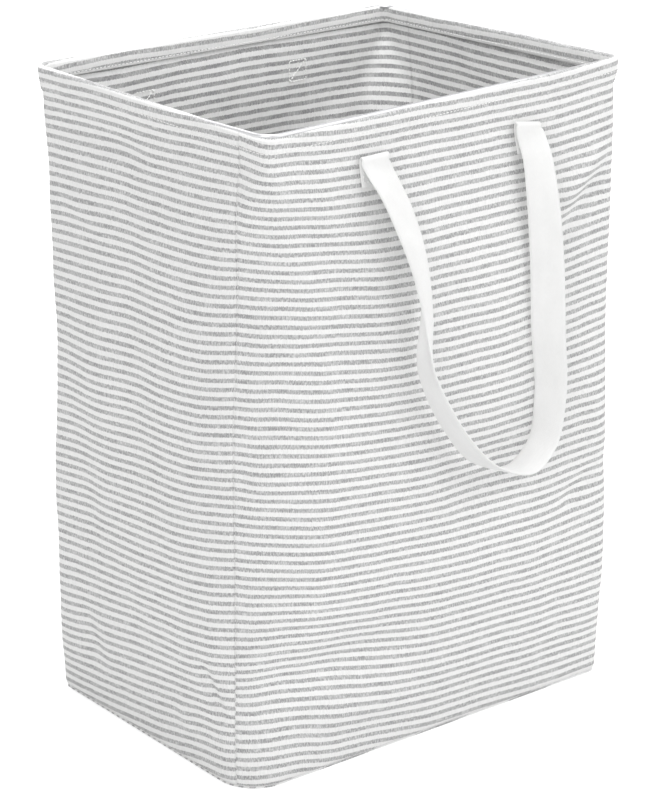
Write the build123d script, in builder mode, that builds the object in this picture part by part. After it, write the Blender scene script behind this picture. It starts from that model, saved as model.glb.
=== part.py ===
from build123d import *
from math import atan2, cos, degrees, hypot, radians, sin
import os

# A free-standing laundry basket of striped cloth, open at the top, in millimetres.
# The origin is under the middle of the base, +Z is up, and X runs along the broad front.
# Two wall cloths are sewn together at the near-left and far-right corners. A wire in the
# folded hem holds the mouth open, and the base hangs turned a little under the rim.
# The basket looks the same after half a turn about Z, so the back is a turned copy of the front.

# Overall size, outside
height = 600.0
rim_width = 428.0
rim_depth = 313.0
base_width = 422.0
base_depth = 293.0
base_turn = -4.3

# Cloth, board and thread thickness
cloth = 1.2
board_thick = 3.0
board_inset = 6.0
thread = 0.8
thread_proud = 0.4
seam_end_gap = 4.0

# Wire in the hem, with the sleeve that joins its two ends at the back
wire_diameter = 4.0
wire_clearance = 0.1
wire_end_gap = 0.4
rim_corner = 14.0
sleeve_diameter = 5.2
sleeve_length = 40.0

# Hem: the cloth goes over the wire and is sewn down on the inside
hem_depth = 16.0
hem_stand_out = 3.0
hem_stitch_rise = 3.0

# Handle straps: sewn ends on the wall, and a loop that hangs from the folds above them
strap_width = 30.0
strap_thick = 1.8
handle_left = -96.0
handle_right = 90.0
fold_height = 562.0
fold_stand_off = 6.5
fold_radius = 2.0
fold_gap = 0.5
fold_overlap = 1.5
strap_level_length = 10.0
end_bottom = 536.0
end_top = 556.0
stitch_box_width = 21.0
stitch_box_height = 24.0
stitch_box_middle = 549.0

# Worked out from the sizes above
wire_height = height - cloth - wire_clearance - wire_diameter / 2
hem_radius = wire_diameter / 2 + wire_clearance + cloth
wire_width = rim_width - 2 * hem_radius
wire_depth = rim_depth - 2 * hem_radius
hem_bottom = height - hem_depth
wall_reach = hem_radius - hem_stand_out
wall_top_width = wire_width + 2 * wall_reach
wall_top_depth = wire_depth + 2 * wall_reach
wall_front = -wall_top_depth / 2
fold_y = wall_front - fold_stand_off
strap_hang_y = fold_y - fold_radius - fold_gap - strap_thick / 2
loop_top = fold_height + fold_overlap
level_bottom = loop_top - strap_level_length
seam_angle = degrees(atan2(-base_depth, -base_width)) + base_turn
seam_plane = Plane(
    origin=(0, 0, 0),
    x_dir=(cos(radians(seam_angle)), sin(radians(seam_angle)), 0),
    z_dir=(-sin(radians(seam_angle)), cos(radians(seam_angle)), 0),
)

# Outline of the wall at each height: height, width, depth, radius of the two sewn corners,
# radius of the two creased corners, and turn about Z. The sewn corners hang slack in the middle.
base_outline = (0.0, base_width, base_depth, 40.0, 10.0, base_turn)
wall_levels = (
    (cloth, *base_outline[1:]),
    (130.0, 425.0, 303.0, 72.0, 12.0, 0.8 * base_turn),
    (320.0, 425.0, 308.0, 88.0, 18.0, 0.45 * base_turn),
    (515.0, wall_top_width, wall_top_depth, 50.0, 11.0, 0.0),
)
wall_top_level = (
    hem_bottom,
    wall_top_width,
    wall_top_depth,
    rim_corner + wall_reach,
    rim_corner + wall_reach,
    0.0,
)

# Stations down the front handle's loop, from the left fold to the right one:
# x, distance out from the hang line at the folds, height, and turn of the strap's width from X.
# The loop hangs askew, and the strap turns on edge at the bottom of its bend.
loop_stations = (
    (handle_left, 0.0, loop_top, 0.0),
    (handle_left + 2.0, 0.0, level_bottom, 0.0),
    (-87.0, 2.5, 537.0, 10.0),
    (-72.5, 7.0, 505.0, 12.0),
    (-55.5, 12.0, 460.0, 21.0),
    (-49.0, 12.5, 415.0, 53.0),
    (-47.5, 11.5, 365.0, 79.0),
    (-33.0, 13.5, 330.0, 89.0),
    (-13.0, 14.5, 299.0, 94.0),
    (23.5, 15.0, 262.0, 104.0),
    (75.0, 14.0, 248.0, 103.0),
    (96.0, 13.0, 263.0, 102.0),
    (106.5, 12.0, 305.0, 112.0),
    (103.5, 10.5, 370.0, 129.0),
    (101.5, 8.0, 440.0, 146.0),
    (96.0, 6.0, 495.0, 159.0),
    (92.5, 2.5, 533.0, 170.0),
    (handle_right + 0.5, 0.0, level_bottom, 180.0),
    (handle_right, 0.0, loop_top, 180.0),
)


def wall_outline(level, inset=0.0):
    """Sketch of the wall's outline at one level, drawn in by inset."""
    level_height, width, depth, sewn, creased, turn = level
    with BuildSketch(Plane.XY.offset(level_height)) as outline:
        Rectangle(width - 2 * inset, depth - 2 * inset, rotation=turn)
        sewn_corners = outline.vertices().filter_by(lambda corner: corner.X * corner.Y > 0)
        fillet(sewn_corners, sewn - inset)
        corner_reach = inset + creased / 4
        creased_corners = [
            corner
            for corner in outline.vertices()
            if corner.X * corner.Y < 0 and hypot(corner.X, corner.Y) > hypot(width, depth) / 2 - corner_reach
        ]
        fillet(creased_corners, creased - inset)
    return outline.sketch


def loft_wall(inset, mode=Mode.ADD):
    """Loft the wall's form, drawn in by inset, from the base up to the hem."""
    loft([wall_outline(level, inset) for level in wall_levels], mode=mode)
    top_band = (wall_levels[-1], wall_top_level)
    loft([wall_outline(level, inset) for level in top_band], ruled=True, mode=mode)


def rim_corners(start_gap):
    """Corners of the wire's path, round from one side of the join at the back to the other."""
    half_width = wire_width / 2
    half_depth = wire_depth / 2
    return (
        (-start_gap, half_depth),
        (-half_width, half_depth),
        (-half_width, -half_depth),
        (half_width, -half_depth),
        (half_width, half_depth),
        (start_gap, half_depth),
    )


def finish(piece, name):
    """Name a finished piece and write it."""
    piece.label = name
    export_step(piece, f"parts/{name}.step")


os.makedirs("parts", exist_ok=True)

# Wall and hem in one, before the cut at the seams
with BuildPart() as walls:
    loft_wall(0)
    loft_wall(cloth, Mode.SUBTRACT)
    with BuildLine(Plane.XY.offset(wire_height)) as hem_path:
        FilletPolyline(*rim_corners(0)[1:5], radius=rim_corner, close=True)
    hem_line = hem_path.wire()
    along = hem_line % 0
    outward = along.cross(Vector(0, 0, 1))
    outward = outward if outward.dot(hem_line @ 0) > 0 else -outward
    hem_plane = Plane(origin=hem_line @ 0, x_dir=outward, z_dir=outward.cross(Vector(0, 0, 1)))
    with BuildSketch(hem_plane) as hem_profile:
        with BuildLine():
            inner_foot = (wall_reach - 2 * cloth, hem_bottom - wire_height)
            outer_foot = (wall_reach, hem_bottom - wire_height)
            Line(inner_foot, outer_foot)
            Line(outer_foot, (hem_radius, 0))
            ThreePointArc((hem_radius, 0), (0, hem_radius), (-hem_radius, 0))
            Line((-hem_radius, 0), inner_foot)
        make_face()
        Circle(wire_diameter / 2 + wire_clearance, mode=Mode.SUBTRACT)
    sweep(path=hem_line)
    with Locations((0, wire_depth / 2, wire_height)):
        Cylinder(
            sleeve_diameter / 2 + wire_clearance,
            sleeve_length + 2 * wire_clearance,
            rotation=(0, 90, 0),
            mode=Mode.SUBTRACT,
        )

# The two wall cloths meet at the corner seams
for name, side in (("wall_cloth_front_right", Keep.TOP), ("wall_cloth_back_left", Keep.BOTTOM)):
    with BuildPart() as wall_cloth:
        add(walls.part)
        split(bisect_by=seam_plane, keep=side)
    finish(wall_cloth.part, name)

# Cloth bottom, with the stiff board lying on it
with BuildPart() as base_cloth:
    extrude(wall_outline(base_outline), amount=cloth)
finish(base_cloth.part, "base_cloth")

with BuildPart() as base_board:
    extrude(wall_outline(wall_levels[0], board_inset), amount=board_thick)
finish(base_board.part, "base_board")

# Rim wire and the sleeve over its ends
with BuildPart() as rim_wire:
    with BuildLine(Plane.XY.offset(wire_height)) as wire_path:
        FilletPolyline(*rim_corners(wire_end_gap / 2), radius=rim_corner)
    with BuildSketch(Plane(origin=wire_path.wire() @ 0, z_dir=wire_path.wire() % 0)):
        Circle(wire_diameter / 2)
    sweep(path=wire_path.wire())
finish(rim_wire.part, "rim_wire")

with BuildPart() as rim_wire_sleeve:
    with Locations((0, wire_depth / 2, wire_height)):
        Cylinder(sleeve_diameter / 2, sleeve_length, rotation=(0, 90, 0))
        Cylinder(
            wire_diameter / 2 + wire_clearance / 2,
            sleeve_length,
            rotation=(0, 90, 0),
            mode=Mode.SUBTRACT,
        )
finish(rim_wire_sleeve.part, "rim_wire_sleeve")

# Sewn ends of the handle straps: flat on the wall, then out to the round fold
for name, x in (("left", handle_left), ("right", handle_right)):
    with BuildPart() as strap_end:
        with BuildSketch(Plane.YZ.offset(x - strap_width / 2)) as end_profile:
            with BuildLine():
                Polyline(
                    (wall_front, end_bottom),
                    (wall_front, end_top + strap_thick),
                    (fold_y + fold_radius, fold_height),
                    (fold_y, fold_height - fold_radius),
                    (wall_front - strap_thick, end_top),
                    (wall_front - strap_thick, end_bottom),
                    close=True,
                )
            make_face()
            with Locations((fold_y, fold_height)):
                Circle(fold_radius)
        extrude(amount=strap_width)
    finish(strap_end.part, f"front_handle_{name}_end")
    back_name = "right" if name == "left" else "left"
    finish(strap_end.part.rotate(Axis.Z, 180), f"back_handle_{back_name}_end")

    # Boxed stitches on the inside of the wall, crossed by one diagonal
    with BuildPart() as box_stitches:
        middle = (x, stitch_box_middle)
        diagonal = hypot(stitch_box_width, stitch_box_height)
        with BuildSketch(Plane.XZ.offset(-wall_front - cloth)):
            with Locations(middle):
                Rectangle(stitch_box_width, stitch_box_height)
                Rectangle(stitch_box_width - 2 * thread, stitch_box_height - 2 * thread, mode=Mode.SUBTRACT)
                tilt = degrees(atan2(stitch_box_height, stitch_box_width))
                Rectangle(diagonal - 2 * thread, thread, rotation=-tilt)
        extrude(amount=-thread_proud)
    finish(box_stitches.part, f"front_handle_{name}_stitching")
    finish(box_stitches.part.rotate(Axis.Z, 180), f"back_handle_{back_name}_stitching")

# Loop of the handle: a ruled surface between the strap's two edges, thickened both ways.
# The strap's width lies square to its path, and level at the folds, where it hangs straight down.
loop_points = [Vector(x, strap_hang_y - out, z) for x, out, z, turn in loop_stations]
last = len(loop_points) - 1
first_edge_points = []
second_edge_points = []
for number, point in enumerate(loop_points):
    if number < 2:
        along = Vector(0, 0, -1)
    elif number > last - 2:
        along = Vector(0, 0, 1)
    else:
        along = (loop_points[number + 1] - loop_points[number - 1]).normalized()
    turn = radians(loop_stations[number][3])
    across = Vector(cos(turn), sin(turn), 0)
    across = (across - along * across.dot(along)).normalized()
    first_edge_points.append(point - across * (strap_width / 2))
    second_edge_points.append(point + across * (strap_width / 2))

with BuildPart() as handle_strap:
    first_edge = Edge.make_spline(first_edge_points)
    second_edge = Edge.make_spline(second_edge_points)
    strap_middle = Face.make_surface_from_curves(first_edge, second_edge)
    thicken(strap_middle, amount=strap_thick / 2, both=True)
finish(handle_strap.part, "front_handle_strap")
finish(handle_strap.part.rotate(Axis.Z, 180), "back_handle_strap")

# Row of stitches round the hem, just above its lower edge
with BuildPart() as hem_stitching:
    stitch_reach = wall_reach + hem_stand_out * (hem_stitch_rise + thread) / (wire_height - hem_bottom)
    with BuildSketch(Plane.XY.offset(hem_bottom + hem_stitch_rise)):
        for grow, mode in ((stitch_reach + thread_proud, Mode.ADD), (stitch_reach, Mode.SUBTRACT)):
            RectangleRounded(wire_width + 2 * grow, wire_depth + 2 * grow, rim_corner + grow, mode=mode)
    extrude(amount=thread)
finish(hem_stitching.part, "hem_stitching")

# Stitches down the two corner seams, proud of the cloth
seam_middle = (cloth + hem_bottom) / 2
seam_length = hem_bottom - cloth - 2 * seam_end_gap
for name, way in (("near", 1), ("far", -1)):
    with BuildPart() as seam_stitching:
        loft_wall(-thread_proud)
        loft_wall(0, Mode.SUBTRACT)
        with Locations(seam_plane.location * Pos(way * base_width / 2, -seam_middle, 0)):
            Box(base_width, seam_length, thread, mode=Mode.INTERSECT)
    finish(seam_stitching.part, f"{name}_seam_stitching")

# Seam of the walls to the base cloth, on the inside
with BuildPart() as base_seam_stitching:
    outer_edge = wall_outline(wall_levels[0], cloth + thread_proud)
    inner_edge = wall_outline(wall_levels[0], cloth + thread_proud + thread)
    extrude(outer_edge, amount=thread)
    extrude(inner_edge, amount=thread, mode=Mode.SUBTRACT)
finish(base_seam_stitching.part, "base_seam_stitching")
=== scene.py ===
from math import cos, pi, radians, sin

import bpy
import numpy as np
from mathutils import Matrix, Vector


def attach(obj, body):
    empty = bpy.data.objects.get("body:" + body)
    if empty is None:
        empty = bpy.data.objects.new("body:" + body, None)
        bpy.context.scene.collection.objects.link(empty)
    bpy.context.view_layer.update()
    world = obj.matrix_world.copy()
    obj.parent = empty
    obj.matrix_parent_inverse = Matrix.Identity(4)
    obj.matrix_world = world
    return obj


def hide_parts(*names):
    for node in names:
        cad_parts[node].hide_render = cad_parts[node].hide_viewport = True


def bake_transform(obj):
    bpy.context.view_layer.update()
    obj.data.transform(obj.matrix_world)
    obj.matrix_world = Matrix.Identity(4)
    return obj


# A striped cloth laundry basket: two wall cloths with a wire in their hem, a cloth bottom,
# two strap handles and their stitches. Shapes are worked out in millimetres and made in metres.
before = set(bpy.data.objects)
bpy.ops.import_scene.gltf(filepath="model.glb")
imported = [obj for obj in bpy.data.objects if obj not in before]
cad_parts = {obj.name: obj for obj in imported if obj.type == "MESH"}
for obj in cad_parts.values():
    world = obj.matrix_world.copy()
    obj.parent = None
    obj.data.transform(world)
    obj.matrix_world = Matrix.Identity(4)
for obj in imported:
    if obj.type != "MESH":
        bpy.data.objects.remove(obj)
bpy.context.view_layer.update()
scene = bpy.context.scene
METRES = 0.001

# Driving sizes, shared with the frame
basket_height = 600.0
rim_width = 428.0
rim_depth = 313.0
rim_corner = 12.5
sewn_rim_corner = 8.5
half_girth = 712.0
cloth = 1.2
wall_top = 572.0
hem_radius = 3.3
wall_reach = 0.3
strap_width = 30.0
strap_thick = 1.8
strap_stand_off = 9.9
handle_left = -96.0
handle_right = 90.0
right_drops = {"front": 4.0, "back": 0.0}
end_bottom = 536.0
fold_height = 562.0
loop_start_drop = 8.5

# Worked out from the driving sizes
wire_height = basket_height - hem_radius
wire_width = rim_width - 2 * hem_radius
wire_depth = rim_depth - 2 * hem_radius
wall_front = -(wire_depth / 2 + wall_reach)
strap_hang_y = wall_front - strap_stand_off
level_bottom = fold_height - loop_start_drop
fold_crest = fold_height + strap_thick

# Thread: its thickness, the length and spacing of the stitches, and how far they lie off the cloth
thread = 0.8
seam_thread = 0.6
box_thread = 1.2
hem_stitch = 2.9
hem_spacing = 4.2
hem_thread_lift = 0.3
seam_stitch = 2.2
seam_spacing = 4.6
seam_thread_lift = 0.1
box_stitch = 2.6
box_spacing = 3.1
strap_thread_out = 2.2
wall_thread_in = 0.5
base_seam_height = 4.4
base_seam_level = 4.0
base_seam_in = 1.0
stitch_box_middle = 551.0
stitch_box_width = 21.0
stitch_box_height = 20.0

# Outline of the wall by height: height, width, depth, radius of the sewn corners, radius of the
# creased corners, and turn about Z in degrees
wall_levels = np.array((
    (cloth, 422.0, 293.0, 40.0, 10.0, -4.3),
    (130.0, 425.0, 303.0, 72.0, 12.0, -3.44),
    (320.0, 425.0, 308.0, 88.0, 18.0, -1.935),
    (515.0, 422.0, 307.0, 50.0, 11.0, 0.0),
    (wall_top, 422.0, 307.0, 9.0, 13.0, 0.0),
))

# Stations down the front handle's loop, from the left fold to the right one: x, distance out from
# the hang line, height, turn of the strap's width from X, and curl across its width, in degrees
loop_stations = np.array((
    (handle_left + 1.2, -3.2, level_bottom, 3.0, 0.0),
    (-87.0, 1.5, 537.0, 10.0, 2.0),
    (-72.5, 7.0, 505.0, 12.0, 15.0),
    (-55.5, 12.0, 460.0, 21.0, 96.0),
    (-49.0, 12.5, 415.0, 53.0, 139.0),
    (-47.5, 11.5, 365.0, 79.0, 30.0),
    (-33.0, 13.5, 330.0, 89.0, 6.0),
    (-13.0, 14.5, 299.0, 94.0, 0.0),
    (23.5, 15.0, 262.0, 104.0, 0.0),
    (75.0, 14.0, 248.0, 103.0, 0.0),
    (96.0, 13.0, 263.0, 102.0, 0.0),
    (106.5, 12.0, 305.0, 112.0, 0.0),
    (103.5, 10.5, 370.0, 129.0, 0.0),
    (101.5, 8.0, 440.0, 146.0, 0.0),
    (96.0, 6.0, 495.0, 159.0, 0.0),
    (92.5, 1.5, 533.0, 170.0, 0.0),
    (handle_right - 1.6, -3.2, level_bottom, 177.0, 0.0),
))

# A strap's sewn end and fold: distance in front of the wall, height, and share of the crest's tilt,
# from its cut end up and over
end_path = np.array((
    (1.2, end_bottom, 0.0),
    (1.2, 545.0, 0.0),
    (1.3, 552.5, 0.2),
    (1.9, 558.5, 0.7),
    (3.2, 562.5, 1.0),
    (4.6, fold_crest, 1.0),
    (5.9, 562.4, 1.0),
    (6.3, 559.0, 0.6),
))

# The two ends: middle of the cut end, turn of the strap's width, tilt of the fold's crest, how far the
# strap slants along X from its cut end up to the crest, and its share of the drop of the right end
strap_ends = (
    (handle_left + 4.0, 0.0, 0.0, -4.6, 0.0),
    (handle_right + 4.0, 180.0, 9.5, -7.0, 1.0),
)
crest_drift = -0.8
loop_end_square = 0.3
loop_drop_share = 0.75

# The strap's thicker edges, the round of their rims, and where its fold starts and stops to bend
edge_width = 3.5
edge_swell = 0.12
edge_thin = 0.75
edge_round = 0.5
strap_columns = 13
strap_rows = 420

# How far the corner seam lies from the middle of the sewn corner, by height
seam_heights = (0.0, 130.0, 320.0, basket_height)
seam_offsets = (11.0, 22.0, 30.0, 32.0)

# Lift of the rim at its four corners, as (near, right, far, left), and the height where it starts
rim_lifts = (-4.0, -1.0, -2.0, 6.0)
lift_start = 250.0

# Stripes of the cloth: their pitch, the grey share of it, how soft their edges are, how far they wander
# and fray, and how close to a seam they run true
stripe_pitch = 8.3
grey_share = 0.47
stripe_soft = 0.06
stripe_wander = 0.9
stripe_fray = 0.6
seam_hold = 30.0

# How far the stripes hang below level: distances from the cloth's first seam, then for each height
# the hang at those distances. Low down both cloths hang alike, and each has its own hang by the rim.
hang_places = np.array(
    (0.0, 50.0, 100.0, 150.0, 210.0, 300.0, 380.0, 453.0, 530.0, 610.0, 660.0, half_girth)
)
hang_heights = np.array((30.0, 85.0, 120.0, 170.0, 300.0, 420.0, 540.0))
low_hang = (
    (-6.5, -6.5, 4.0, 10.5, 19.5, 24.0, 28.5, 27.0, 20.0, 11.0, 1.5, -5.0),
    (-5.5, -9.0, -1.0, 8.5, 18.5, 24.5, 29.0, 29.0, 20.0, 9.5, 4.0, -1.5),
    (0.5, -5.0, 1.0, 8.5, 17.5, 24.5, 29.0, 27.0, 18.0, 9.0, 6.0, 1.0),
    (1.5, 1.0, 7.0, 11.5, 18.0, 24.5, 27.5, 23.5, 16.5, 10.5, 7.5, 2.0),
    (4.0, 4.0, 8.0, 13.5, 19.0, 24.5, 23.5, 20.0, 16.0, 13.0, 11.0, 4.0),
)
front_right_hang = low_hang + (
    (3.0, 2.5, 7.5, 16.0, 17.5, 21.0, 21.5, 18.0, 16.5, 15.2, 13.7, 11.7),
    (-2.0, 1.0, 8.0, 11.0, 13.5, 16.5, 18.0, 14.0, 13.0, 11.7, 10.7, 9.7),
)
back_left_hang = low_hang + (
    (20.0, 19.5, 19.0, 18.5, 18.0, 20.0, 21.0, 18.0, 11.5, 8.5, 9.5, 3.0),
    (18.0, 18.0, 17.5, 16.5, 15.5, 16.5, 18.0, 14.0, 9.0, 6.5, 3.0, -1.0),
)

# Corners of an outline: points on each arc, and the least radius
corner_points = 25
least_radius = 0.5

# A wall cloth's grid, the round of its foot, and the dent along its seams
columns = 220
wall_row_count = 150
foot_heights = (cloth, 2.0, 3.2, 5.0, 8.0, 12.0)
wall_row_start = 16.0
foot_round = 2.6
foot_round_height = 7.0
foot_edge = 2.5
hem_edge = 2.0
seam_depth = 0.3
seam_width = 2.6
seam_fade = 26.0


def smooth_step(value, low, high):
    """0 below low, 1 above high, and a smooth rise between them."""
    share = np.clip((value - low) / (high - low), 0.0, 1.0)
    return share * share * (3.0 - 2.0 * share)


def unit_rows(ways):
    """Each row scaled to a length of one."""
    return ways / np.linalg.norm(ways, axis=1)[:, None]


def running_length(points):
    """Length along a line of points, from its first point to each of them."""
    steps = np.linalg.norm(np.diff(points, axis=0), axis=1)
    return np.concatenate(((0.0,), np.cumsum(steps)))


def smooth_curve(knots, values, at):
    """Smooth curve through the values at the knots, read at the given places."""
    slopes = np.gradient(values, knots, axis=0)
    at = np.clip(np.atleast_1d(at), knots[0], knots[-1])
    number = np.clip(np.searchsorted(knots, at, side="right") - 1, 0, len(knots) - 2)
    span = (knots[number + 1] - knots[number])[:, None]
    share = (at - knots[number])[:, None] / span
    curve = (2 * share**3 - 3 * share**2 + 1) * values[number]
    curve += (3 * share**2 - 2 * share**3) * values[number + 1]
    curve += span * (share**3 - 2 * share**2 + share) * slopes[number]
    curve += span * (share**3 - share**2) * slopes[number + 1]
    return curve


def level_at(height):
    """Width, depth, sewn radius, creased radius and turn of the wall at a height."""
    return smooth_curve(wall_levels[:, 0], wall_levels[:, 1:], height)[0]


def outline(section, inset=0.0):
    """Closed outline from the middle of the near corner round past the right, and its running length."""
    width, depth, sewn, creased, turn = section
    width, depth = width - 2 * inset, depth - 2 * inset
    sewn, creased = max(sewn - inset, least_radius), max(creased - inset, least_radius)
    corners = (
        (-1, -1, sewn, 225, 270),
        (1, -1, creased, 270, 360),
        (1, 1, sewn, 0, 90),
        (-1, 1, creased, 90, 180),
        (-1, -1, sewn, 180, 225),
    )
    points = []
    for way_x, way_y, radius, start, stop in corners:
        middle_x = way_x * (width / 2 - radius)
        middle_y = way_y * (depth / 2 - radius)
        for angle in np.radians(np.linspace(start, stop, corner_points)):
            points.append((middle_x + radius * cos(angle), middle_y + radius * sin(angle)))
    points = np.array(points)
    angle = radians(turn)
    points = points @ np.array(((cos(angle), sin(angle)), (-sin(angle), cos(angle))))
    return points, running_length(points)


def half_round(section, height, inset=0.0):
    """Points of one wall cloth at a height, from the near seam to the far one, and their outward ways."""
    points, lengths = outline(section, inset)
    girth = lengths[-1]
    start = -np.interp(height, seam_heights, seam_offsets)
    along = start + girth / 2 * np.linspace(0.0, 1.0, columns + 1)
    step = 0.5
    places = []
    for shift in (-step, 0.0, step):
        where = np.mod(along + shift, girth)
        places.append(np.stack([np.interp(where, lengths, points[:, axis]) for axis in (0, 1)], -1))
    tangent = unit_rows(places[2] - places[0])
    outward = np.stack((tangent[:, 1], -tangent[:, 0]), -1)
    return places[1], outward


def value_noise(across, up, cell_across, cell_up, seed):
    """Smooth noise from -1 to 1 over a cloth, with cells of the given size."""
    cells = 64
    grid = np.random.RandomState(seed).uniform(-1.0, 1.0, (cells, cells))
    a, b = across / cell_across, up / cell_up
    column, row = np.floor(a).astype(int), np.floor(b).astype(int)
    a, b = smooth_step(a - column, 0, 1), smooth_step(b - row, 0, 1)
    corner = [grid[(row + i) % cells, (column + j) % cells] for i in (0, 1) for j in (0, 1)]
    low = corner[0] * (1 - a) + corner[1] * a
    high = corner[2] * (1 - a) + corner[3] * a
    return low * (1 - b) + high * b


def fold_ridge(across, up, fold):
    """Height of one fold: a ridge along a line from one end to the other that fades at both ends."""
    first_across, first_up, last_across, last_up, breadth, rise = fold
    run_across, run_up = last_across - first_across, last_up - first_up
    run = np.hypot(run_across, run_up)
    share = ((across - first_across) * run_across + (up - first_up) * run_up) / run**2
    aside = ((across - first_across) * run_up - (up - first_up) * run_across) / run
    ends = smooth_step(share, *fold_fade) * smooth_step(1 - share, *fold_fade)
    return rise * ends * np.exp(-((aside / breadth) ** 2))


# Distances from the cloth's first seam: its sewn corner, the handle's two sewn ends, the middles of its
# broad and narrow faces, and its creased corner
corner_place = 31.0
end_places = (137.0, 323.0)
front_middle = 243.0
side_middle = 607.0
crease_place = 447.0

# Folds and dents of each wall cloth: where the line starts and ends, as (distance from the cloth's
# first seam, height) twice, then its breadth and its rise (below zero for a dent)
front_right_folds = (
    (29.0, 560.0, 152.0, 393.0, 22.0, -5.5),
    (10.0, 419.0, 74.0, 408.0, 24.0, 4.0),
    (68.0, 402.0, 168.0, 390.0, 11.0, -4.5),
    (5.0, 285.0, 70.0, 278.0, 18.0, 3.5),
    (5.0, 93.0, 190.0, 115.0, 20.0, -6.0),
    (65.0, 57.0, 204.0, 46.0, 24.0, 4.0),
    (366.0, 438.0, 440.0, 501.0, 11.0, -6.0),
    (359.0, 471.0, 434.0, 523.0, 11.0, 5.0),
    (379.0, 180.0, 430.0, 214.0, 12.0, -5.5),
    (427.0, 310.0, 427.0, 220.0, 14.0, 4.5),
    (235.0, 230.0, 330.0, 250.0, 28.0, -5.0),
    (560.0, 430.0, 640.0, 250.0, 24.0, -5.0),
    (500.0, 150.0, 560.0, 90.0, 14.0, -4.0),
)
back_left_folds = (
    (460.0, 568.0, 592.0, 546.0, 14.0, -6.0),
    (476.0, 494.0, 553.0, 464.0, 12.0, 3.5),
    (447.0, 540.0, 447.0, 240.0, 42.0, -5.0),
    (582.0, 500.0, 590.0, 195.0, 38.0, -5.0),
    (520.0, 400.0, 540.0, 180.0, 30.0, 3.0),
    (476.0, 322.0, 521.0, 150.0, 30.0, -2.5),
    (667.0, 108.0, 705.0, 52.0, 7.0, -5.5),
    (636.0, 60.0, 655.0, 25.0, 14.0, 3.5),
    (479.0, 105.0, 500.0, 40.0, 16.0, -4.0),
    (60.0, 520.0, 170.0, 400.0, 15.0, -5.0),
    (120.0, 200.0, 260.0, 160.0, 24.0, 4.5),
    (300.0, 130.0, 400.0, 210.0, 12.0, -5.0),
)

# Share of a fold's line over which it rises at each end
fold_fade = (-0.1, 0.35)

# Soft form at middle height: how far the broad and narrow faces swell and the sewn corners give, and how
# wide each of these is
broad_swell = 5.0
broad_reach = 400.0
narrow_swell = 3.5
narrow_reach = 210.0
corner_dent = 10.0
corner_reach = 85.0

# Heights over which each form comes in from below or fades out above
swell_in = (20.0, 150.0)
swell_out = (420.0, 560.0)
slack_in = (4.0, 50.0)
slack_out = (545.0, 578.0)
crease_in = (535.0, 565.0)
pucker_in = (570.0, 580.0)
pucker_out = (586.0, 593.0)
seam_out = (566.0, 576.0)

# Ripples of the slack cloth: their rise, and the size of their cells across and up
ripples = (
    (2.2, 95.0, 130.0),
    (1.1, 38.0, 52.0),
    (0.35, 17.0, 24.0),
)

# Puckers of the hem and wrinkles of the creased corner: the puckers' rise, the cells of both, how far the
# wrinkles reach from the crease, and how far from a seam the puckers start
pucker_rise = 0.35
pucker_cells = (9.0, 40.0)
pucker_fade = 12.0
pucker_seed = 4
crease_cells = (16.0, 10.0)
crease_reach = 30.0
crease_seed = 3

# Flat place round each sewn end of a handle: its reach across and up, and the shares where it fades
flat_across = 34.0
flat_up = 30.0
flat_fade = (0.7, 1.5)


def soft_form(across, up):
    """The sewn corners hang slack at middle height, and the faces swell a little between corners."""
    middle = smooth_step(up, *swell_in) * (1 - smooth_step(up, *swell_out))
    first = (across - corner_place) / corner_reach
    last = (half_girth + corner_place - across) / corner_reach
    dent = np.exp(-(first**2)) + np.exp(-(last**2))
    broad = np.cos(np.clip((across - front_middle) / broad_reach, -0.5, 0.5) * pi) ** 2
    narrow = np.cos(np.clip((across - side_middle) / narrow_reach, -0.5, 0.5) * pi) ** 2
    return middle * (broad_swell * broad + narrow_swell * narrow - corner_dent * dent)


def seam_clear(across, reach):
    """0 at both seams of a cloth, and 1 further than a reach from them."""
    return smooth_step(across, 0.0, reach) * smooth_step(half_girth - across, 0.0, reach)


def hem_wrinkles(across, up, seed):
    """Small puckers along the hem, and wrinkles where it bends round the creased corner."""
    pucker = pucker_rise * value_noise(across, up, *pucker_cells, seed + pucker_seed)
    pucker = pucker * smooth_step(up, *pucker_in)
    bend = np.exp(-(((across - crease_place) / crease_reach) ** 2)) * smooth_step(up, *crease_in)
    pucker = pucker + bend * value_noise(across, up, *crease_cells, seed + crease_seed)
    pucker = pucker * seam_clear(across, pucker_fade)
    return pucker * (1 - smooth_step(up, *pucker_out))


def slack(across, up, folds, seed, seam_dent):
    """How far the cloth stands out from its plain form. It lies flat under the handle's sewn ends."""
    out = np.zeros_like(across)
    for number, (rise, cell_across, cell_up) in enumerate(ripples):
        out = out + rise * value_noise(across, up, cell_across, cell_up, seed + number)
    for fold in folds:
        out = out + fold_ridge(across, up, fold)
    out = out * smooth_step(up, *slack_in) * (1 - smooth_step(up, *slack_out))
    out = out * seam_clear(across, seam_fade)
    for sewn in end_places:
        away = np.hypot((across - sewn) / flat_across, (up - stitch_box_middle) / flat_up)
        out = out * smooth_step(away, *flat_fade)
    seam = np.exp(-((across / seam_width) ** 2)) + np.exp(-(((half_girth - across) / seam_width) ** 2))
    out = out + soft_form(across, up) + hem_wrinkles(across, up, seed)
    return out - seam_dent * seam * (1 - smooth_step(up, *seam_out))


def rim_lift(places, height):
    """Rise of the cloth near the rim, from the lifts of its corners."""
    right = np.clip(places[:, 0] / wire_width + 0.5, 0.0, 1.0)
    back = np.clip(places[:, 1] / wire_depth + 0.5, 0.0, 1.0)
    near, front_right, far, left = rim_lifts
    lift = (near * (1 - right) + front_right * right) * (1 - back)
    lift = lift + (left * (1 - right) + far * right) * back
    return lift * smooth_step(height, lift_start, basket_height)


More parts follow.
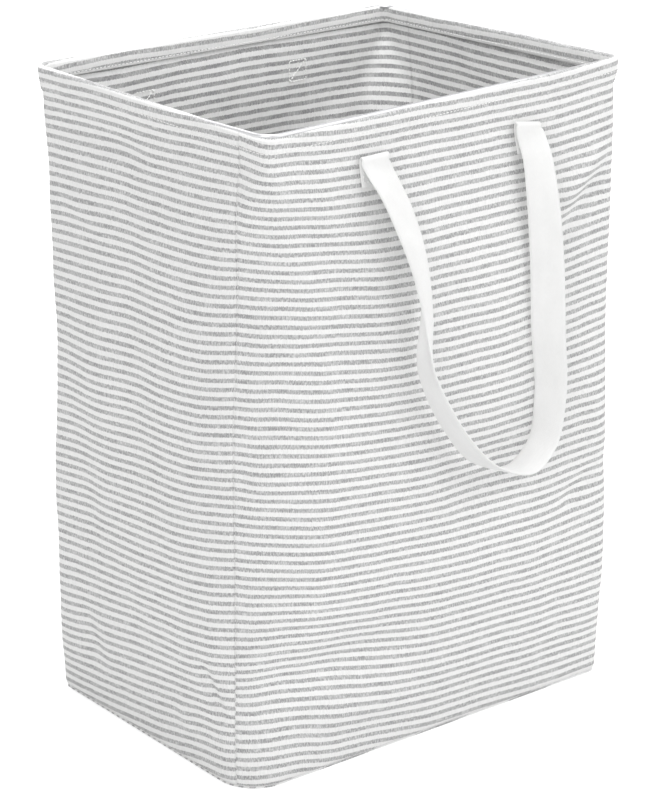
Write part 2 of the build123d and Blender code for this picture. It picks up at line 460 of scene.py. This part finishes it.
def hem_profile():
    """Path of the hem's outer face, as (distance out from the wire, height), up, over and down inside."""
    path = [(0.1, 575.0), (1.4, 579.0), (2.2, 583.5), (2.7, 587.0), (3.1, 591.0)]
    for angle in np.linspace(0.0, pi, 11):
        path.append((hem_radius * cos(angle), wire_height + hem_radius * sin(angle)))
    path += [(-3.2, 591.0), (-3.0, 588.5), (-2.7, 586.6), (-2.5, 585.3), (-2.5, 584.0)]
    return np.array(path)


def wall_rows():
    """Rows of a wall cloth: section, inset, height, length along the cloth, and whether it is a cut edge."""
    outer, inner = [], []
    heights = np.concatenate((foot_heights, np.linspace(wall_row_start, wall_top, wall_row_count)))
    for height in heights:
        round_in = foot_round * (1 - min((height - cloth) / foot_round_height, 1.0)) ** 2
        section = level_at(height)
        edge = height < foot_edge
        outer.append((section, round_in, height, height, edge))
        inner.append((section, cloth + round_in, height, height, edge))
    path = hem_profile()
    run = unit_rows(np.gradient(path, axis=0))
    inward = np.stack((-run[:, 1], run[:, 0]), -1)
    lengths = wall_top + running_length(np.concatenate((((wall_reach, wall_top),), path)))[1:]
    plain = np.array((wire_width, wire_depth, sewn_rim_corner, rim_corner, 0.0))
    for place, way, length in zip(path, inward, lengths):
        edge = length > lengths[-1] - hem_edge
        outer.append((plain, -place[0], place[1], length, edge))
        back = place + cloth * way
        inner.append((plain, -back[0], back[1], length, edge))
    return outer, inner


def make_mesh(name, points, faces, marks=None):
    """Mesh object in metres from points in millimetres, with a UV map in metres of cloth."""
    mesh = bpy.data.meshes.new(name)
    mesh.from_pydata((np.asarray(points) * METRES).tolist(), [], faces)
    mesh.polygons.foreach_set("use_smooth", [True] * len(mesh.polygons))
    if marks is not None:
        layer = mesh.uv_layers.new(name="cloth")
        corners = np.zeros(len(mesh.loops), np.int32)
        mesh.loops.foreach_get("vertex_index", corners)
        layer.data.foreach_set("uv", (np.asarray(marks) * METRES)[corners].astype(np.float32).ravel())
    mesh.validate()
    mesh.update()
    obj = bpy.data.objects.new(name, mesh)
    scene.collection.objects.link(obj)
    return obj


def loop_faces(row_count, column_count):
    """Quads of a grid whose rows close round on themselves, with both ends capped."""
    faces = []
    wide = column_count + 1
    for row in range(row_count):
        following = (row + 1) % row_count
        for column in range(column_count):
            faces.append((
                row * wide + column,
                row * wide + column + 1,
                following * wide + column + 1,
                following * wide + column,
            ))
    half = row_count // 2
    for row in range(half - 1):
        partner = row_count - 1 - row
        for column, flip in ((0, False), (column_count, True)):
            face = (
                row * wide + column,
                (row + 1) * wide + column,
                (partner - 1) * wide + column,
                partner * wide + column,
            )
            faces.append(face[::-1] if flip else face)
    return faces


def tube_faces(ring_count, count, first=0, flip=False):
    """Quads round a tube of rings, from the given first point."""
    faces = []
    for ring in range(ring_count - 1):
        low = first + ring * count
        high = low + count
        for number in range(count):
            following = (number + 1) % count
            here, there = (following, number) if flip else (number, following)
            faces.append((low + here, low + there, high + there, high + here))
    return faces


def place_row(section, inset, height, folds, seed, turned, seam_dent):
    """Points of one row of a wall cloth, with its slack and lift."""
    places, outward = half_round(section, height, inset)
    across = np.linspace(0.0, half_girth, columns + 1)
    out = slack(across, np.full_like(across, height), folds, seed, seam_dent)
    places = places + outward * out[:, None]
    if turned:
        places = -places
    heights = height + rim_lift(places, height)
    return np.column_stack((places, heights))


def hang(across, height, stripe_hang):
    """How far the stripes hang below level along a row of the cloth."""
    rows = smooth_curve(hang_places, np.array(stripe_hang).T, across).T
    return smooth_curve(hang_heights, rows, height)[0]


def make_wall(name, node, folds, stripe_hang, seed, turned):
    """One wall cloth as a thick sheet that goes over the rim and down inside."""
    outer, inner = wall_rows()
    rows = outer + inner[::-1]
    across = np.linspace(0.0, half_girth, columns + 1)
    points, marks = [], []
    for number, (section, inset, height, length, edge) in enumerate(rows):
        dent = seam_depth if number < len(outer) else 0.0
        points.append(place_row(section, inset, height, folds, seed, turned, dent))
        up = length + hang(across, height, stripe_hang)
        if edge:
            up = np.round(up / stripe_pitch) * stripe_pitch
        marks.append(np.column_stack((across, up)))
    faces = loop_faces(len(rows), columns)
    wall = make_mesh(name, np.concatenate(points), faces, np.concatenate(marks))
    for number, face in enumerate(wall.data.polygons):
        row = number // columns
        face.use_smooth = row < len(rows)
        # Inner rows take the second material, whose darker grey stripes are painted shade for the inside of
        # the basket.
        face.material_index = int(len(outer) <= row < len(rows) - 1)
    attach(wall, "basket")
    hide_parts(node)
    return wall, np.array(points)


def make_base_cloth():
    """Cloth bottom: a flat sheet with a rounded edge, closed over and under."""
    rings = [(1.4, cloth / 2), (1.8, 1.05), (2.6, cloth), (9.0, cloth)]
    rings = [(inset, cloth - height) for inset, height in rings[::-1]] + rings[1:]
    section = level_at(0.0)
    points = []
    count = 2 * columns
    for inset, height in rings:
        places = half_round(section, 0.0, inset)[0]
        ring = np.concatenate((places[:-1], -places[:-1]))
        points.append(np.column_stack((ring, np.full(count, height))))
    faces = tube_faces(len(rings), count)
    top = (len(rings) - 1) * count
    for number in range(columns):
        corners = (number, number + 1, (count - number - 1) % count, (count - number) % count)
        if number == 0:
            corners = corners[:3]
        elif number == columns - 1:
            corners = corners[:2] + corners[3:]
        faces.append(corners[::-1])
        faces.append(tuple(top + corner for corner in corners))
    points = np.concatenate(points)
    base = make_mesh("bottom_cloth", points, faces, points[:, :2])
    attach(base, "basket")
    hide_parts("base_cloth")
    return base


def strap_line(right_drop):
    """Middle line of the front strap, with turn, curl, tilt and squareness at each place."""
    ends = []
    for x, turn, tilt, slant, drop_share in strap_ends:
        drop = drop_share * right_drop
        end = []
        for out, height, share in end_path:
            rise = (height - end_bottom) / (fold_crest - end_bottom)
            end.append((x + slant * rise, wall_front - out, height - drop, turn, 0.0, tilt * share, 0.0))
        end[-1] = (x + slant + crest_drift,) + end[-1][1:]
        ends.append(end)
    count = len(loop_stations)
    loop = np.column_stack((loop_stations, np.zeros(count), np.ones(count)))
    loop[:, 1] = strap_hang_y - loop[:, 1]
    loop[[0, -1], 6] = loop_end_square
    loop[-1, 2] -= right_drop
    loop[-2, 2] -= loop_drop_share * right_drop
    keys = np.concatenate((ends[0], loop, ends[1][::-1]))
    knots = running_length(keys[:, :3])
    at = np.linspace(0.0, knots[-1], strap_rows)
    return smooth_curve(knots, keys, at), at


def strap_sections(right_drop):
    """Rings of points round the strap along its line, and their marks across and along the cloth."""
    line, at = strap_line(right_drop)
    along = unit_rows(np.gradient(line[:, :3], axis=0))
    half_width = strap_width / 2
    across_steps = np.linspace(-half_width, half_width, strap_columns)
    step = across_steps[1] - across_steps[0]
    rims = half_width + edge_round
    stations = np.concatenate((across_steps, (rims,), across_steps[::-1], (-rims,)))
    thick = strap_thick / 2 * (1 + edge_swell * (np.abs(across_steps) > half_width - edge_width))
    thick[[0, -1]] *= edge_thin
    rings, marks = [], []
    for place, way, length in zip(line, along, at):
        turn, tilt, square = radians(place[3]), radians(place[5]), place[6]
        level = np.array((cos(turn) * cos(tilt), sin(turn) * cos(tilt), sin(tilt)))
        across = level - square * way * level.dot(way)
        across /= np.linalg.norm(across)
        side = np.cross(across, way)
        side /= np.linalg.norm(side)
        if way[2] > 0:
            side = -side
        lean = np.radians(place[4]) * across_steps / strap_width
        run = np.cos(lean)[:, None] * across + np.sin(lean)[:, None] * side
        middle = np.concatenate((np.zeros((1, 3)), np.cumsum((run[1:] + run[:-1]) / 2 * step, axis=0)))
        middle = middle - middle.mean(axis=0) + place[:3]
        normal = unit_rows(np.cross(run, way))
        outer = middle + normal * thick[:, None]
        inner = middle - normal * thick[:, None]
        first = middle[0] - run[0] * edge_round
        last = middle[-1] + run[-1] * edge_round
        rings.append(np.concatenate((outer, (last,), inner[::-1], (first,))))
        marks.append(np.column_stack((stations, np.full(len(stations), length))))
    return rings, marks, at[-1]


def make_strap(name, way, nodes, right_drop):
    """One handle: a strap sewn down at both ends, folded over and hanging in a loop."""
    rings, marks, length = strap_sections(right_drop)
    count = len(rings[0])
    faces = tube_faces(len(rings), count, flip=True)
    faces.append(tuple(range(count)))
    faces.append(tuple(range((len(rings) - 1) * count, len(rings) * count))[::-1])
    points = np.concatenate(rings) * (way, way, 1.0)
    strap = make_mesh(name, points, faces, np.concatenate(marks))
    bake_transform(strap)
    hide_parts(*nodes)
    return strap, length


def stitch_shapes(places, ways, outs, length, width):
    """Points and faces of short rounded stitches lying along the given ways."""
    sides = 6
    stitch_dip = 0.35
    around = np.linspace(0.0, 2 * pi, sides, endpoint=False)
    ends = ((-0.5, 0.35), (-0.38, 0.85), (0.0, 1.0), (0.38, 0.85), (0.5, 0.35))
    points, faces = [], []
    for place, way, out in zip(places, ways, outs):
        aside = np.cross(way, out)
        first = len(points)
        for share, full in ends:
            dip = -stitch_dip * width * (2 * share) ** 2
            for angle in around:
                point = place + way * share * length + out * dip
                points.append(point + full * width / 2 * (aside * cos(angle) + out * sin(angle)))
        faces += tube_faces(len(ends), sides, first)
        last = first + sides * (len(ends) - 1)
        faces.append(tuple(range(first, first + sides))[::-1])
        faces.append(tuple(range(last, last + sides)))
    return points, faces


def stitch_row(line, outs, spacing):
    """Places, ways and outs of stitches set evenly along a line."""
    lengths = running_length(line)
    count = int(lengths[-1] / spacing)
    at = (np.arange(count) + 0.5) * lengths[-1] / count

    def read(where, values):
        return np.stack([np.interp(where, lengths, values[:, axis]) for axis in range(3)], -1)

    places = read(at, line)
    ways = unit_rows(read(at + 0.5, line) - read(at - 0.5, line))
    sides = read(at, outs)
    sides = unit_rows(sides - ways * (sides * ways).sum(axis=1)[:, None])
    return places, ways, sides


def make_stitches(name, rows, length, spacing, width, nodes):
    """One piece of thread: rows of stitches along lines, each with its outward ways."""
    points, faces = [], []
    for line, outs in rows:
        row = stitch_row(np.asarray(line), np.asarray(outs), spacing)
        made, quads = stitch_shapes(*row, length, width)
        faces += [tuple(corner + len(points) for corner in face) for face in quads]
        points += made
    stitches = make_mesh(name, points, faces)
    stitches.data.materials.append(thread_look)
    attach(stitches, "basket")
    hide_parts(*nodes)


# Materials: the whites, and the pitch of the cotton's yarn and of the webbing's twill in metres
cotton_white = (0.90, 0.90, 0.895)
webbing_white = (0.89, 0.89, 0.885)
yarn_pitch = 0.0011
twill_pitch = 0.0016


def node_adder(tree):
    """Helper that adds a node to a tree, sets it up, and joins or fills its inputs."""

    def add(kind, settings=None, **inputs):
        node = tree.nodes.new(kind)
        for key, value in (settings or {}).items():
            setattr(node, key, value)
        for key, value in inputs.items():
            numbered = key[0] == "i" and key[1:].isdigit()
            socket = node.inputs[int(key[1:])] if numbered else node.inputs[key]
            if isinstance(value, bpy.types.NodeSocket):
                tree.links.new(value, socket)
            else:
                socket.default_value = value
        return node

    return add


def new_material(name):
    """Material with its node tree, its shader and the helper that adds nodes."""
    material = bpy.data.materials.new(name)
    material.use_nodes = True
    tree = material.node_tree
    return material, tree, tree.nodes["Principled BSDF"], node_adder(tree)


def math_node(add, operation, first, second=0.0, third=0.0):
    """Output of a Math node."""
    node = add("ShaderNodeMath", {"operation": operation}, i0=first, i1=second, i2=third)
    return node.outputs[0]


def map_range(add, value, low, high, to_low, to_high, smooth=False):
    """Output of a Map Range node."""
    settings = {"interpolation_type": "SMOOTHSTEP" if smooth else "LINEAR"}
    node = add("ShaderNodeMapRange", settings, i0=value, i1=low, i2=high, i3=to_low, i4=to_high)
    return node.outputs[0]


def wave(add, place, pitch):
    """Sine wave along a place, with the given pitch in metres."""
    return math_node(add, "SINE", math_node(add, "MULTIPLY", place, 2 * pi / pitch))


def tinted(add, shade, colour):
    """Colour whose three parts are scaled by a shade."""
    parts = [math_node(add, "MULTIPLY", shade, part) for part in colour]
    return add("ShaderNodeCombineColor", i0=parts[0], i1=parts[1], i2=parts[2]).outputs[0]


def cloth_place(add):
    """Distances across and along the cloth, in metres."""
    marks = add("ShaderNodeUVMap", {"uv_map": "cloth"})
    split = add("ShaderNodeSeparateXYZ", Vector=marks.outputs[0])
    return split.outputs[0], split.outputs[1]


def seen_share(add):
    """One where the surroundings are seen, also in a reflection, and zero where they only light."""
    path = add("ShaderNodeLightPath")
    seen = math_node(add, "MAXIMUM", path.outputs["Is Camera Ray"], path.outputs["Is Glossy Ray"])
    return math_node(add, "MAXIMUM", seen, path.outputs["Is Transmission Ray"])


def stretched_noise(add, across, up, scale_across, scale_up, detail=1.0, offset=0.0):
    """Noise over the cloth's own length and height, stretched by two scales."""
    vector = add(
        "ShaderNodeCombineXYZ",
        X=math_node(add, "MULTIPLY", across, scale_across),
        Y=math_node(add, "MULTIPLY", up, scale_up),
        Z=offset,
    )
    noise = add("ShaderNodeTexNoise", Vector=vector.outputs[0], Scale=1.0, Detail=detail, Roughness=0.55)
    return noise.outputs[0]


def striped_material(name, grey, faintest, strongest):
    """Yarn-dyed cotton: grey weft bands on white, speckled by the white warp, with slubs."""
    material, tree, shader, add = new_material(name)
    across, up = cloth_place(add)
    far_seam = half_girth * METRES
    hold = seam_hold * METRES
    pitch = stripe_pitch * METRES

    # Where the stripes run
    wander = stretched_noise(add, across, up, 16.0, 9.0, 2.0)
    wander = map_range(add, wander, 0.2, 0.8, -stripe_wander * METRES, stripe_wander * METRES)
    near_held = map_range(add, across, 0.0, hold, 0.0, 1.0, True)
    far_held = map_range(add, across, far_seam - hold, far_seam, 1.0, 0.0, True)
    wander = math_node(add, "MULTIPLY", wander, math_node(add, "MULTIPLY", near_held, far_held))
    ragged = stretched_noise(add, across, up, 1300.0, 420.0, 1.0, 3.0)
    ragged = map_range(add, ragged, 0.2, 0.8, -stripe_fray * METRES, stripe_fray * METRES)
    place = math_node(add, "ADD", math_node(add, "ADD", up, wander), ragged)
    phase = math_node(add, "FRACT", math_node(add, "DIVIDE", place, pitch))
    away = math_node(add, "ABSOLUTE", math_node(add, "SUBTRACT", phase, 0.5))
    away = math_node(add, "MULTIPLY", away, 2.0)
    band = map_range(add, away, grey_share - stripe_soft, grey_share + stripe_soft, 1.0, 0.0, True)

    # How grey they are
    speckle = stretched_noise(add, across, up, 950.0, 320.0, 2.0, 7.0)
    strength = map_range(add, speckle, 0.25, 0.75, faintest, strongest)
    slub = stretched_noise(add, across, up, 620.0, 14.0, 1.0, 11.0)
    slub = map_range(add, slub, 0.60, 0.76, 1.0, 0.6, True)
    patch = stretched_noise(add, across, up, 55.0, 90.0, 2.0, 17.0)
    patch = map_range(add, patch, 0.3, 0.7, 0.78, 1.16)
    amount = math_node(add, "MULTIPLY", band, strength)
    amount = math_node(add, "MULTIPLY", amount, math_node(add, "MULTIPLY", slub, patch))
    warp = stretched_noise(add, across, up, 950.0, 160.0, 2.0, 23.0)
    warp = map_range(add, warp, 0.25, 0.75, 0.90, 1.03)
    colour = add("ShaderNodeMix", {"data_type": "RGBA", "clamp_factor": True})
    tree.links.new(amount, colour.inputs[0])
    tree.links.new(tinted(add, warp, cotton_white), colour.inputs[6])
    colour.inputs[7].default_value = (grey, grey, 1.015 * grey, 1.0)
    tree.links.new(colour.outputs[2], shader.inputs["Base Color"])
    tree.links.new(map_range(add, speckle, 0.2, 0.8, 0.84, 0.97), shader.inputs["Roughness"])

    # Weave
    weft = math_node(add, "ABSOLUTE", wave(add, up, yarn_pitch))
    warps = math_node(add, "ABSOLUTE", wave(add, across, yarn_pitch))
    weave = math_node(add, "MULTIPLY", weft, warps)
    height = math_node(add, "MULTIPLY_ADD", speckle, 0.8, weave)
    bump = add("ShaderNodeBump", Height=height, Strength=0.22, Distance=0.0004)
    tree.links.new(bump.outputs[0], shader.inputs["Normal"])
    shader.inputs["Sheen Weight"].default_value = 0.12
    shader.inputs["Sheen Roughness"].default_value = 0.6
    shader.inputs["Specular IOR Level"].default_value = 0.2
    return material


def plain_material(name, colour, rough, scale, grain, metal=0.0):
    """Thread, board or wire: a colour with fine grain in its shade, roughness and surface."""
    material, tree, shader, add = new_material(name)
    where = add("ShaderNodeTexCoord")
    noise = add("ShaderNodeTexNoise", Vector=where.outputs["Object"], Scale=scale, Detail=4.0, Roughness=0.6)
    shade = map_range(add, noise.outputs[0], 0.3, 0.7, 1.0 - grain, 1.0)
    tree.links.new(tinted(add, shade, colour), shader.inputs["Base Color"])
    roughness = map_range(add, noise.outputs[0], 0.2, 0.8, rough - 0.1, rough + 0.08)
    tree.links.new(roughness, shader.inputs["Roughness"])
    bump = add("ShaderNodeBump", Height=noise.outputs[0], Strength=0.3, Distance=0.0003)
    tree.links.new(bump.outputs[0], shader.inputs["Normal"])
    shader.inputs["Metallic"].default_value = metal
    return material


def webbing_material():
    """White cotton webbing with a fine twill across it."""
    material, tree, shader, add = new_material("white_webbing")
    across, along = cloth_place(add)
    slope = math_node(add, "ADD", math_node(add, "ABSOLUTE", across), along)
    twill = wave(add, slope, twill_pitch)
    warp = wave(add, across, twill_pitch / 1.5)
    cloudy = stretched_noise(add, across, along, 90.0, 40.0, 3.0, 5.0)
    cloudy = map_range(add, cloudy, 0.3, 0.7, 0.965, 1.0)
    yarn = stretched_noise(add, across, along, 1400.0, 300.0, 1.0, 9.0)
    shade = math_node(add, "MULTIPLY", cloudy, map_range(add, yarn, 0.2, 0.8, 0.96, 1.0))
    shade = math_node(add, "MULTIPLY", shade, map_range(add, twill, -1.0, 1.0, 0.975, 1.0))
    tree.links.new(tinted(add, shade, webbing_white), shader.inputs["Base Color"])
    tree.links.new(map_range(add, yarn, 0.2, 0.8, 0.78, 0.92), shader.inputs["Roughness"])
    height = math_node(add, "MULTIPLY_ADD", warp, 0.5, twill)
    bump = add("ShaderNodeBump", Height=height, Strength=0.25, Distance=0.0003)
    tree.links.new(bump.outputs[0], shader.inputs["Normal"])
    shader.inputs["Sheen Weight"].default_value = 0.1
    shader.inputs["Specular IOR Level"].default_value = 0.25
    return material


# Two copies of the stripes. The first goes on the outer faces and the bottom. The second goes on the inner
# faces, which are the cloth's reverse side, and its darker, stronger grey is painted shade for the inside of
# the basket.
striped = striped_material("striped_cotton", 0.335, 0.15, 1.34)
striped_reverse_shade = striped_material("striped_cotton_reverse_shade", 0.295, 0.5, 1.2)
webbing = webbing_material()
thread_look = plain_material("white_thread", (0.97, 0.97, 0.96), 0.7, 2600.0, 0.08)
board_look = plain_material("pale_board", (0.80, 0.80, 0.78), 0.75, 260.0, 0.10)
wire_look = plain_material("drawn_wire", (0.60, 0.60, 0.61), 0.38, 900.0, 0.15, 1.0)
for node, look in (("base_board", board_look), ("rim_wire", wire_look), ("rim_wire_sleeve", wire_look)):
    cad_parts[node].data.materials.clear()
    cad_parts[node].data.materials.append(look)

# The walls
front_right, front_grid = make_wall(
    "wall_front_right", "wall_cloth_front_right", front_right_folds, front_right_hang, 11, False
)
back_left, back_grid = make_wall(
    "wall_back_left", "wall_cloth_back_left", back_left_folds, back_left_hang, 23, True
)
for wall in (front_right, back_left):
    wall.data.materials.append(striped)
    wall.data.materials.append(striped_reverse_shade)

base = make_base_cloth()
base.data.materials.append(striped)

# The handles: the back one is the front one turned round
handle_sides = (("front", 1.0), ("back", -1.0))
for side, way in handle_sides:
    nodes = [f"{side}_handle_{piece}" for piece in ("strap", "left_end", "right_end")]
    strap, strap_length = make_strap(f"{side}_strap", way, nodes, right_drops[side])
    strap.data.materials.append(webbing)


def raised(line, outs, lift):
    """Line moved off the cloth by a lift."""
    return line + lift * unit_rows(outs)


# Stitches round the hem, inside and out, with a short second row where they start
outer_count = len(front_grid) // 2
hem_first = outer_count - len(hem_profile())
whole_round = (0, 2 * columns + 3)
second_row_span = (7, 13)
hem_lines = (
    (hem_first + 3, 1.0, whole_round),
    (outer_count - 3, -1.0, whole_round),
    (hem_first + 2, 1.0, second_row_span),
)
hem_rows = []
for row, way, (first, last) in hem_lines:
    line = np.concatenate((front_grid[row], back_grid[row], front_grid[row][:1]))
    flat = np.gradient(line, axis=0)
    outs = np.column_stack((flat[:, 1], -flat[:, 0], np.zeros(len(flat)))) * way
    line = raised(line, outs, hem_thread_lift)
    hem_rows.append((line[first:last], outs[first:last]))
make_stitches("hem_stitches", hem_rows, hem_stitch, hem_spacing, thread, ["hem_stitching"])

# Stitches down the corner seams
seam_start = 4
for name, grid in (("near", front_grid), ("far", back_grid)):
    line = grid[seam_start:hem_first, 0]
    outs = line * (1.0, 1.0, 0.0)
    rows = [(raised(line, outs, seam_thread_lift), outs)]
    nodes = [f"{name}_seam_stitching"]
    make_stitches(f"{name}_seam_stitches", rows, seam_stitch, seam_spacing, seam_thread, nodes)


def stitch_box(x, y, out, drop):
    """Lines of a boxed stitch with one diagonal, on a face at y that looks along out."""
    left, right = x - stitch_box_width / 2, x + stitch_box_width / 2
    low = stitch_box_middle - drop - stitch_box_height / 2
    high = low + stitch_box_height
    corners = ((left, low), (right, low), (right, high), (left, high))
    lines = [(corners[number], corners[(number + 1) % 4]) for number in range(4)]
    lines.append((corners[3], corners[1]))
    count = 5
    share = np.linspace(0.0, 1.0, count)[:, None]
    rows = []
    for first, last in lines:
        flat = np.array(first) * (1 - share) + np.array(last) * share
        line = np.column_stack((flat[:, 0], np.full(count, y), flat[:, 1]))
        rows.append((line, np.tile((0.0, out, 0.0), (count, 1))))
    return rows


# Boxed stitches of the handle ends, on the strap and through on the inside of the wall. The back
# handle's ends change sides as it is turned round.
for side, way in handle_sides:
    for end, x, drop in (("left", handle_left, 0.0), ("right", handle_right, right_drops[side])):
        if way < 0:
            end = "right" if end == "left" else "left"
        rows = stitch_box(x, wall_front - strap_thread_out, -1.0, drop)
        rows += stitch_box(x, wall_front + cloth + wall_thread_in, 1.0, drop)
        turned = [(line * (way, way, 1.0), outs * (way, way, 1.0)) for line, outs in rows]
        nodes = [f"{side}_handle_{end}_stitching"]
        make_stitches(f"{side}_{end}_box_stitches", turned, box_stitch, box_spacing, box_thread, nodes)

# Stitches of the base seam, low on the inside of the walls
base_section = level_at(base_seam_level)
base_line, base_outward = half_round(base_section, base_seam_level, cloth + base_seam_in)
base_line = np.concatenate((base_line, -base_line, base_line[:1]))
base_outward = np.concatenate((base_outward, -base_outward, base_outward[:1]))
count = len(base_line)
base_line = np.column_stack((base_line, np.full(count, base_seam_height)))
base_inward = np.column_stack((-base_outward, np.zeros(count)))
base_rows = [(base_line, base_inward)]
make_stitches("base_seam_stitches", base_rows, hem_stitch, hem_spacing, thread, ["base_seam_stitching"])

# Floor, light and camera: the floor's reach in millimetres, then places in metres and lamps in watts
floor_reach = 9000.0
shade_start = 0.4
shade_stop = 1.6
near_glow = 0.42
far_glow = 0.85
world_light = 0.47
lamp_aim = (0.0, 0.0, 0.3)
lamps = (
    ("key", (2.1, -3.0, 2.6), 4.4, 86.0),
    ("side", (-2.8, -1.7, 2.1), 2.5, 46.0),
    ("back", (0.6, 3.4, 2.4), 3.0, 58.0),
    ("mouth", (0.0, 0.0, 2.0), 0.5, 14.0),
)
camera_azimuth = -42.63
camera_elevation = 19.88
camera_distance = 2.610
camera_lens = 127.2
camera_sensor = 36.0
aim_sideways = 0.0032
aim_height = 0.2819


def make_floor():
    """Wide pale floor that shows white to the camera and keeps the shadow."""
    corners = ((-1, -1), (1, -1), (1, 1), (-1, 1))
    points = [(way_x * floor_reach, way_y * floor_reach, 0.0) for way_x, way_y in corners]
    floor = make_mesh("floor", points, [(0, 1, 2, 3)])
    material, tree, shader, add = new_material("pale_floor")
    shader.inputs["Base Color"].default_value = (0.85, 0.85, 0.85, 1.0)
    shader.inputs["Roughness"].default_value = 0.9
    shader.inputs["Specular IOR Level"].default_value = 0.1
    place = add("ShaderNodeNewGeometry").outputs["Position"]
    away = add("ShaderNodeVectorMath", {"operation": "LENGTH"}, i0=place).outputs["Value"]
    level = map_range(add, away, shade_start, shade_stop, near_glow, far_glow, True)
    glow = add("ShaderNodeEmission", Strength=math_node(add, "MULTIPLY", seen_share(add), level))
    total = add("ShaderNodeAddShader")
    tree.links.new(shader.outputs[0], total.inputs[0])
    tree.links.new(glow.outputs[0], total.inputs[1])
    tree.links.new(total.outputs[0], tree.nodes["Material Output"].inputs["Surface"])
    floor.data.materials.append(material)


def make_world():
    """Even pale surroundings that show white to the camera."""
    world = bpy.data.worlds.new("studio")
    scene.world = world
    world.use_nodes = True
    tree = world.node_tree
    add = node_adder(tree)
    background = tree.nodes["Background"]
    level = map_range(add, seen_share(add), 0.0, 1.0, world_light, 1.0)
    tree.links.new(level, background.inputs["Strength"])
    background.inputs["Color"].default_value = (1.0, 1.0, 1.0, 1.0)


def add_lamp(name, place, size, watts):
    """Square soft lamp that points at the basket."""
    lamp = bpy.data.lights.new(name, "AREA")
    lamp.shape = "SQUARE"
    lamp.size = size
    lamp.energy = watts
    obj = bpy.data.objects.new(name, lamp)
    scene.collection.objects.link(obj)
    obj.location = place
    obj.rotation_euler = (Vector(lamp_aim) - Vector(place)).to_track_quat("-Z", "Y").to_euler()


def make_camera():
    """Camera at the photograph's angle, height and distance."""
    azimuth, elevation = radians(camera_azimuth), radians(camera_elevation)
    sideways = Vector((cos(azimuth), sin(azimuth), 0.0))
    back = Vector((sin(azimuth) * cos(elevation), -cos(azimuth) * cos(elevation), sin(elevation)))
    aim = sideways * aim_sideways + Vector((0.0, 0.0, aim_height))
    data = bpy.data.cameras.new("camera")
    data.lens = camera_lens
    data.sensor_width = camera_sensor
    camera = bpy.data.objects.new("camera", data)
    scene.collection.objects.link(camera)
    camera.location = aim + back * camera_distance
    camera.rotation_euler = (-back).to_track_quat("-Z", "Y").to_euler()
    scene.camera = camera


make_floor()
make_world()
for lamp in lamps:
    add_lamp(*lamp)
make_camera()
scene.view_settings.view_transform = "Standard"
